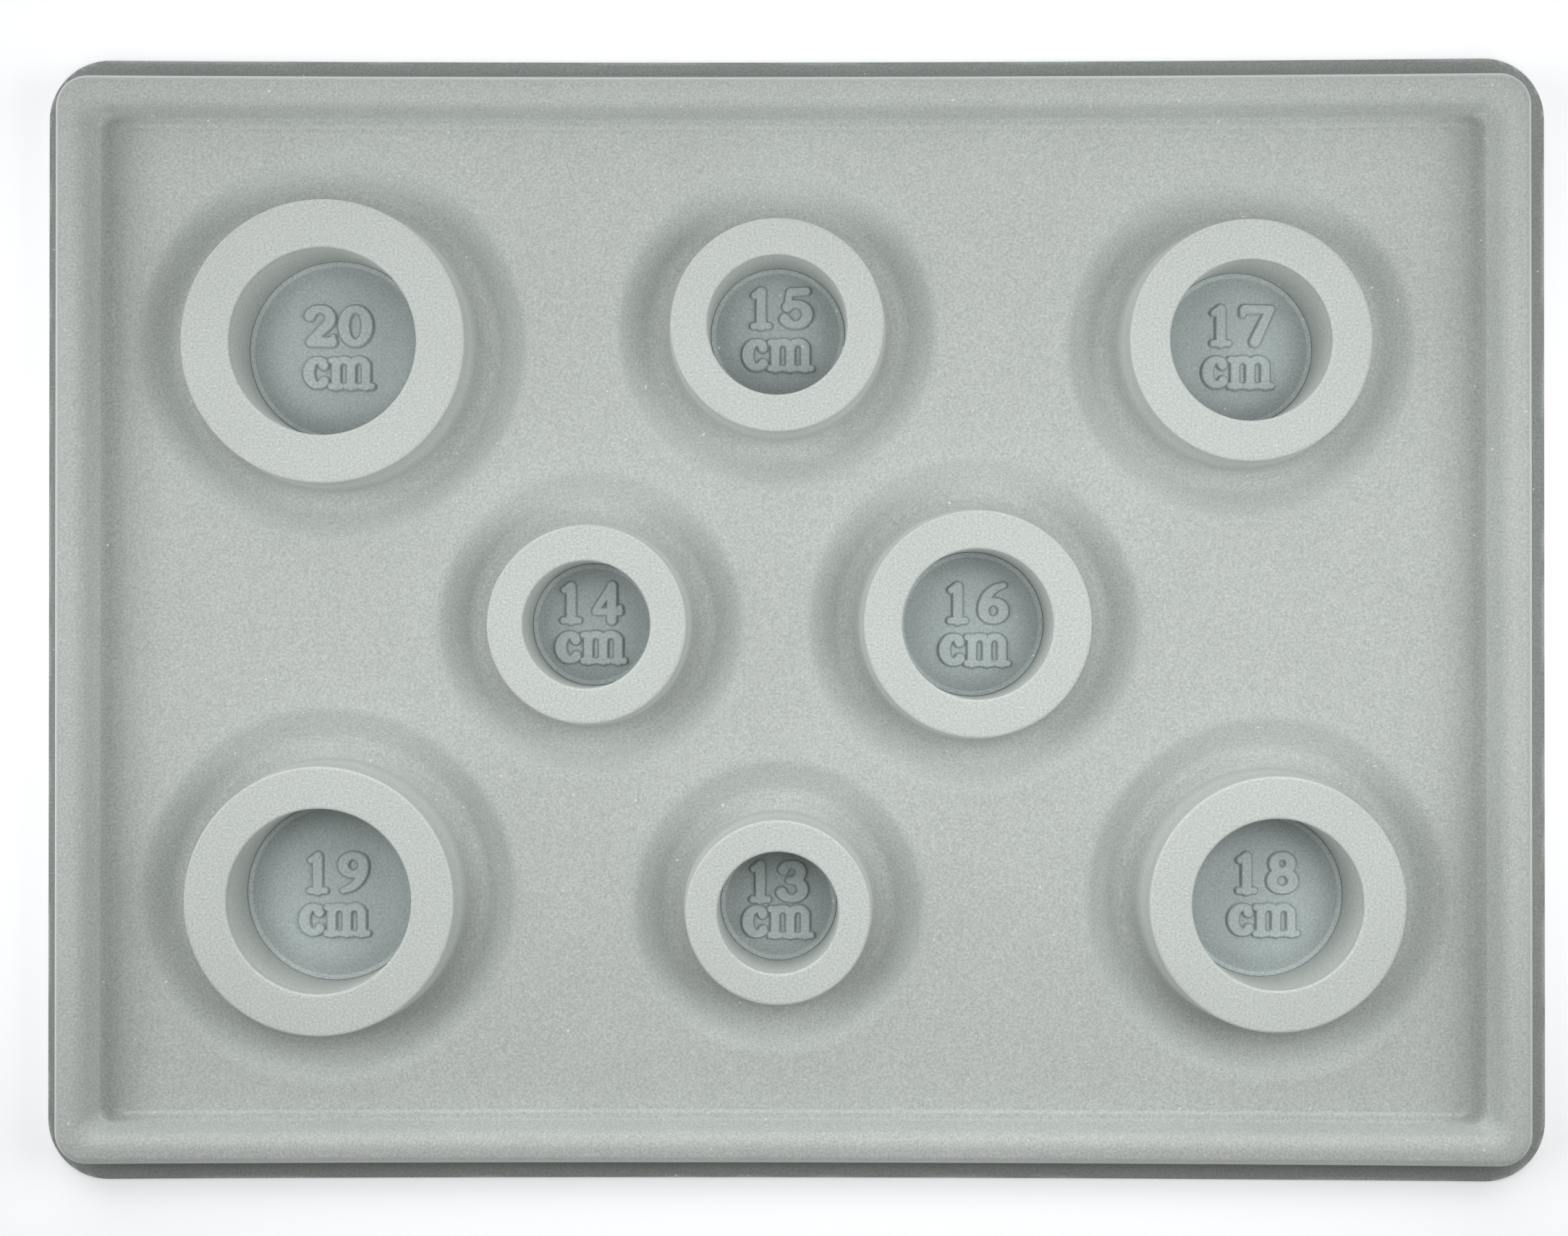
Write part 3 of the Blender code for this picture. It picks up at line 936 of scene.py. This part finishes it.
def add_mark(size):
    """The raised number and letters on a well's floor."""
    axis = middle(f"well_floor_{size}cm")
    bpy.ops.object.select_all(action="DESELECT")
    bpy.ops.mesh.primitive_grid_add(
        x_subdivisions=round(MARK_WIDTH / MARK_GRID), y_subdivisions=round(MARK_HEIGHT / MARK_GRID), size=1
    )
    mark = bpy.context.object
    mark.name = f"raised_mark_{size}cm"
    mesh = mark.data
    places = np.empty(len(mesh.vertices) * 3)
    mesh.vertices.foreach_get("co", places)
    places = places.reshape(-1, 3) * (MARK_WIDTH, MARK_HEIGHT, 0)
    gap = distance(places[:, :2], mark_strokes(size))
    slope = np.clip((FOOT_REACH - gap) / (FOOT_REACH - FLAT_REACH), 0, 1)
    drape = slope * slope * (3 - 2 * slope)
    places[:, :2] += MARKS[size].shift
    places[:, 2] = (MARK_RISE + MARK_SINK) * drape - MARK_SINK
    places = places * MM + (axis.x, axis.y, WALL)
    mesh.vertices.foreach_set("co", places.ravel())
    # Painted light on the letters' tops and painted shade down their sides, kept on the points.
    tone = LETTER_TOP_PAINTED_LIGHT * drape + LETTER_SIDE_PAINTED_SHADE * 4 * drape * (1 - drape)
    mesh.attributes.new("tone", "FLOAT", "POINT").data.foreach_set("value", tone)
    edit_part(mark, "VERT", gap > MARK_BORDER)
    bpy.ops.mesh.delete(type="VERT")
    bpy.ops.object.mode_set(mode="OBJECT")
    # The mark gets the wells' darker flock, a painted shade.
    mesh.materials.append(well_flock_shaded)
    wall = mark.modifiers.new("Wall", "SOLIDIFY")
    wall.thickness = WALL / 2
    wall.offset = -1
    bpy.ops.object.modifier_apply(modifier=wall.name)
    bpy.ops.object.shade_smooth_by_angle(angle=MARK_SHARP)
    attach(mark, "root")
    return mark


for size in SIZES:
    report(add_mark(size))

# %% [markdown]
# The border is the tray's stiffener: a flange that lies on the table, a steep outer wall, a crowned top that
# falls inward, and a small ledge at the slope's foot. Its corners go from a wide radius outside to a tight
# one inside, so no single outline can be swept along it. It is a loft instead: one rounded rectangle for each
# point of the section, each joined to the next. Its long sides bow in by about a millimetre, as the cooling
# sheet pulled them, and the flange was trimmed a little wider at one end than at the other.

# %% Outline of the rim
FLANGE_WIDTH = 4.3 * MM
RIM_WALL_RUN = 2.85 * MM
RIM_TOP_WIDTH = 5.8 * MM
SLOPE_RUN = 2.8 * MM
LEDGE_WIDTH = 1.5 * MM
LEDGE_STEP = 0.7 * MM
END_RIM_EXTRA = 2.6 * MM
FLANGE_CORNER = 14.2 * MM
INNER_CORNER = 2.4 * MM
CORNER_EASE = 0.35
CORNER_STEPS = 16
SIDE_STEPS = 36
SIDE_BOW = 0.8 * MM
TRIM_SHIFT = 0.7 * MM

RIM_EDGE_INSET = FLANGE_WIDTH + RIM_WALL_RUN
CREST_INSET = RIM_EDGE_INSET + RIM_TOP_WIDTH
SLOPE_FOOT_INSET = CREST_INSET + SLOPE_RUN
RIM_INSET = SLOPE_FOOT_INSET + LEDGE_WIDTH + LEDGE_STEP


def rounded_rectangle(half, radius):
    """The points of a rounded rectangle about the middle, with its corners and its sides in even steps."""
    corners = []
    for quarter, (side_x, side_y) in enumerate(((1, 1), (-1, 1), (-1, -1), (1, -1))):
        centre = Vector((side_x * (half.x - radius), side_y * (half.y - radius)))
        for count in range(CORNER_STEPS + 1):
            angle = (quarter + count / CORNER_STEPS) * pi / 2
            corners.append(centre + radius * Vector((cos(angle), sin(angle))))
    ring = []
    for index, point in enumerate(corners):
        ring.append(point)
        if index % (CORNER_STEPS + 1) == CORNER_STEPS:
            following = corners[(index + 1) % len(corners)]
            ring += [point.lerp(following, count / SIDE_STEPS) for count in range(1, SIDE_STEPS)]
    return ring


def rim_ring(inset, height):
    """The rim's outline at this inset. Slope and ledge are wider at the board's ends."""
    share = min(max((inset - CREST_INSET) / (RIM_INSET - CREST_INSET), 0), 1)
    half = BOARD_HALF - Vector((inset + share ** 2 * END_RIM_EXTRA, inset))
    radius = max(FLANGE_CORNER - inset, INNER_CORNER + CORNER_EASE * max(0, RIM_INSET - inset))
    trim = TRIM_SHIFT * max(0, 1 - inset / FLANGE_WIDTH)
    bowed = []
    for point in rounded_rectangle(half, radius):
        pull = SIDE_BOW * (1 - (point.x / BOARD_HALF.x) ** 2) * point.y / BOARD_HALF.y
        bowed.append((point.x + trim, point.y - pull, height))
    return bowed


print("the rim is", round(RIM_INSET / MM, 2), "mm wide, with", len(rim_ring(0, 0)), "points to a ring")

# %% [markdown]
# The flange is painted darker, a painted shade at the foot of the rim's wall. The light falls differently on
# the ends and on the sides, so the section has painted light and shade for both, and each point takes its
# share of the two by the way the rim runs there.

# %% Rim
FLANGE_FILLET = 2.0 * MM
RIM_EDGE_ROUND = 2.4 * MM
RIM_EDGE_RISE = 6.2 * MM
RIM_CROWN = 0.8 * MM
RIM_TOP_ROUND = 4.5 * MM
SLOPE_FILLET = 1.6 * MM
LEDGE_RISE = 0.5 * MM
LEDGE_ROUND = 0.6 * MM
RIM_LIP = 0.8 * MM
# A painted highlight along the rim's outer edge, a little below its corner and reaching further.
RIM_HIGHLIGHT = 1.0
RIM_HIGHLIGHT_DROP = 0.45 * MM
RIM_HIGHLIGHT_REACH = 0.95 * MM

# Painted shading along the rim's section: painted shade in the crease and on the flange, and crests and edges
# painted lighter or darker by how the light falls on the sides and on the ends.
RimShading = namedtuple("RimShading", "ledge crease crest edge flange")
SIDE_SHADING = RimShading(ledge=0.0, crease=-0.1, crest=0.0, edge=-0.03, flange=-0.28)
END_SHADING = RimShading(ledge=-0.04, crease=-0.05, crest=-0.06, edge=0.08, flange=-0.33)


def end_share(ring):
    """How far the rim runs along an end of the board at each place of a ring: 1 at an end, 0 at a side."""
    way = np.roll(ring, -1, axis=0) - np.roll(ring, 1, axis=0)
    return way[:, 1] ** 2 / (way[:, 0] ** 2 + way[:, 1] ** 2)


def lofted(name, points, side_values, end_values, material):
    """A surface through one ring of the rim for each point of its section, with the values of its finish."""
    rings = [rim_ring(-point.x, point.y) for point in points]
    around = len(rings[0])
    share = end_share(np.array(rings[0]))
    faces = []
    for row in range(len(rings) - 1):
        for index in range(around):
            onward = (index + 1) % around
            faces.append((
                row * around + index, row * around + onward,
                (row + 1) * around + onward, (row + 1) * around + index,
            ))
    places = [place for ring in rings for place in ring]
    values = {}
    for attribute, at_side in side_values.items():
        values[attribute] = (np.outer(at_side, 1 - share) + np.outer(end_values[attribute], share)).ravel()
    return new_piece(name, places, [], faces, material, values)


def rim_section(tone):
    """The rim from the floor's edge over its crest to the trimmed flange, with its painted shading along it.
    """
    ledge_height = FLOOR_HEIGHT + LEDGE_RISE
    edge_height = FLOOR_HEIGHT + RIM_EDGE_RISE
    return [
        Corner(-RIM_INSET - RIM_LIP, FLOOR_HEIGHT),
        Corner(-RIM_INSET, FLOOR_HEIGHT, LEDGE_ROUND, tone=tone.crease / 2),
        Corner(-SLOPE_FOOT_INSET - LEDGE_WIDTH, ledge_height, LEDGE_ROUND, tone=tone.ledge),
        Corner(-SLOPE_FOOT_INSET, ledge_height, SLOPE_FILLET, tone=tone.crease),
        Corner(-CREST_INSET, edge_height + RIM_CROWN, RIM_TOP_ROUND, tone=tone.crest),
        Corner(-RIM_EDGE_INSET, edge_height, RIM_EDGE_ROUND, RIM_HIGHLIGHT, tone.edge, RIM_HIGHLIGHT_DROP, RIM_HIGHLIGHT_REACH),
        Corner(-FLANGE_WIDTH, WALL, FLANGE_FILLET, tone=tone.flange),
        Corner(0, WALL, tone=tone.flange),
    ]


def add_rim():
    """The raised border of the board, with its flock and its bare underside."""
    sides = rim_section(SIDE_SHADING)
    ends = rim_section(END_SHADING)
    upper = divided(rounded(sides))
    top = lofted("flocked_rim", upper, flock_values(upper, sides), flock_values(upper, ends), flock)
    bottom = lofted("rim_below", underside(sides), {}, {}, polystyrene)
    rim = joined("flocked_rim", top, bottom)
    stand_in(rim, "rim")
    return rim


report(add_rim())

# %% [markdown]
# The floor is flat, with a round opening for each groove. Its outline and openings are drawn as loops of
# edges that run through the same points as the rim and the grooves, so no gap can show. Fill then finds the
# faces between them, and an extrude gives the sheet its thickness.

# %% Floor


def add_floor():
    """The flat floor between the rim and the grooves."""
    loops = [[Vector(place) for place in rim_ring(RIM_INSET + RIM_LIP, FLOOR_HEIGHT)]]
    turns = [2 * pi * count / TURN_STEPS for count in range(TURN_STEPS)]
    for size in SIZES:
        axis = middle(f"groove_{size}cm")
        radius = post_radius(size) + GROOVE_WIDTH + GROOVE_LIP
        loops.append([
            Vector((axis.x + radius * cos(turn), axis.y + radius * sin(turn), FLOOR_HEIGHT))
            for turn in turns
        ])
    places, edges = [], []
    for loop in loops:
        first = len(places)
        places += loop
        edges += [(first + index, first + (index + 1) % len(loop)) for index in range(len(loop))]
    floor = new_piece("flocked_floor", places, edges, [], flock, {})
    edit_all(floor)
    bpy.ops.mesh.fill(use_beauty=True)
    bpy.ops.mesh.select_all(action="SELECT")
    bpy.ops.mesh.extrude_region_move(TRANSFORM_OT_translate={"value": (0, 0, -WALL)})
    bpy.ops.mesh.select_all(action="SELECT")
    bpy.ops.mesh.normals_make_consistent(inside=False)
    bpy.ops.object.mode_set(mode="OBJECT")
    clothe(floor, flock)
    bpy.ops.object.shade_smooth_by_angle(angle=SHARP)
    stand_in(floor, "floor_panel")
    return floor


report(add_floor())

# %% [markdown]
# The board lies on a plain white table, a real surface that keeps the board's shadow. To the eye, the mirror
# and the glass, table and room are a little brighter than their light makes them, so that they come out
# white, and they throw no more light on the board for that. More light would whiten them too, but it would
# wash out the board.

# %% White table
TABLE_SIDE = 4.0
TABLE_DROP = 0.05 * MM
TABLE_WHITE = "#fafbfd"
TABLE_ROUGHNESS = 0.9
TABLE_GLOW = 0.31
FAR_GLOW = 0.95
GLOW_FROM = 0.3
GLOW_TO = 1.3


def seen(owner):
    """One where a surface is seen by the eye, in a mirror or through glass, and zero for its light."""
    ray = add_node(owner, "ShaderNodeLightPath").outputs
    mirrored = add_node(
        owner, "ShaderNodeMath", {"operation": "MAXIMUM"},
        _0=ray["Is Glossy Ray"], _1=ray["Is Transmission Ray"],
    ).outputs[0]
    return add_node(
        owner, "ShaderNodeMath", {"operation": "MAXIMUM"}, _0=ray["Is Camera Ray"], _1=mirrored
    ).outputs[0]


def make_table_white():
    """Matt white table top, which glows a little to the eye, and more so far from the board."""
    material, shader = new_material("white_table")
    place = add_node(material, "ShaderNodeTexCoord").outputs["Object"]
    away = add_node(material, "ShaderNodeVectorMath", {"operation": "LENGTH"}, _0=place).outputs["Value"]
    wanted = add_node(
        material, "ShaderNodeMapRange",
        Value=away, From_Min=GLOW_FROM, From_Max=GLOW_TO, To_Min=TABLE_GLOW, To_Max=FAR_GLOW,
    ).outputs[0]
    glow = add_node(
        material, "ShaderNodeMath", {"operation": "MULTIPLY"}, _0=seen(material), _1=wanted
    ).outputs[0]
    shader.inputs["Base Color"].default_value = linear(TABLE_WHITE)
    shader.inputs["Roughness"].default_value = TABLE_ROUGHNESS
    shader.inputs["Emission Color"].default_value = linear(TABLE_WHITE)
    material.node_tree.links.new(glow, shader.inputs["Emission Strength"])
    return material


def add_table():
    """A plain white table top under the board."""
    bpy.ops.object.select_all(action="DESELECT")
    bpy.ops.mesh.primitive_plane_add(size=TABLE_SIDE, location=(0, 0, -TABLE_DROP))
    table = bpy.context.object
    table.name = "table"
    table.data.materials.append(make_table_white())


add_table()
print("table:", TABLE_SIDE, "m to a side")

# %% [markdown]
# Two soft panels hang high over the ends of the board, as over a copying stand. They hang near, so the light
# falls off a little towards the long sides. Three larger panels stand further off and light the board less: a
# low one at each end, for the walls, and one beyond the board. The panels are hidden from the camera, because
# some other views would look straight at them.

# %% Soft panels
Panel = namedtuple("Panel", "azimuth elevation distance side watts")
PANELS = {
    "right_panel": Panel(0, 60, 0.29, 0.2, 0.437),
    "left_panel": Panel(180, 60, 0.29, 0.2, 0.348),
    "right_low_panel": Panel(0, 20, 1.5, 0.9, 3.1),
    "left_low_panel": Panel(180, 20, 1.5, 0.9, 5.1),
    "far_panel": Panel(100, 38, 1.5, 1.2, 6.8),
}


def add_panel(name, setting):
    """A soft panel facing the board: which way it hangs and how high, in degrees, how far, and its watts."""
    flat = Vector((cos(radians(setting.azimuth)), sin(radians(setting.azimuth)), 0))
    aim = flat * cos(radians(setting.elevation)) + Vector((0, 0, sin(radians(setting.elevation))))
    bpy.ops.object.light_add(type="AREA", location=aim * setting.distance)
    panel = bpy.context.object
    panel.name = name
    panel.data.size = setting.side
    panel.data.energy = setting.watts
    panel.rotation_euler = aim.to_track_quat("Z", "Y").to_euler()
    panel.visible_camera = False


for panel_name, setting in PANELS.items():
    add_panel(panel_name, setting)
print("light:", len(PANELS), "panels")

# %% [markdown]
# The room round the board is even and pale, white to look at, and gives hardly any light. The picture shows
# colours as they are, with no film curve, and the light is level enough that a colour comes out about as it
# is written.

# %% Pale room
ROOM_WHITE = "#ffffff"
ROOM_STRENGTH = 0.02
ROOM_SEEN = 1.0


def add_room():
    """An even pale room round the board, brighter to the eye than in the light that it gives."""
    world = bpy.data.worlds.new("pale_room")
    world.use_nodes = True
    strength = add_node(
        world, "ShaderNodeMapRange", Value=seen(world), To_Min=ROOM_STRENGTH, To_Max=ROOM_SEEN
    ).outputs[0]
    background = world.node_tree.nodes["Background"]
    background.inputs["Color"].default_value = linear(ROOM_WHITE)
    world.node_tree.links.new(strength, background.inputs["Strength"])
    bpy.context.scene.world = world


add_room()
bpy.context.scene.view_settings.view_transform = "Standard"
print("room:", bpy.context.scene.world.name, "with strength", ROOM_STRENGTH)
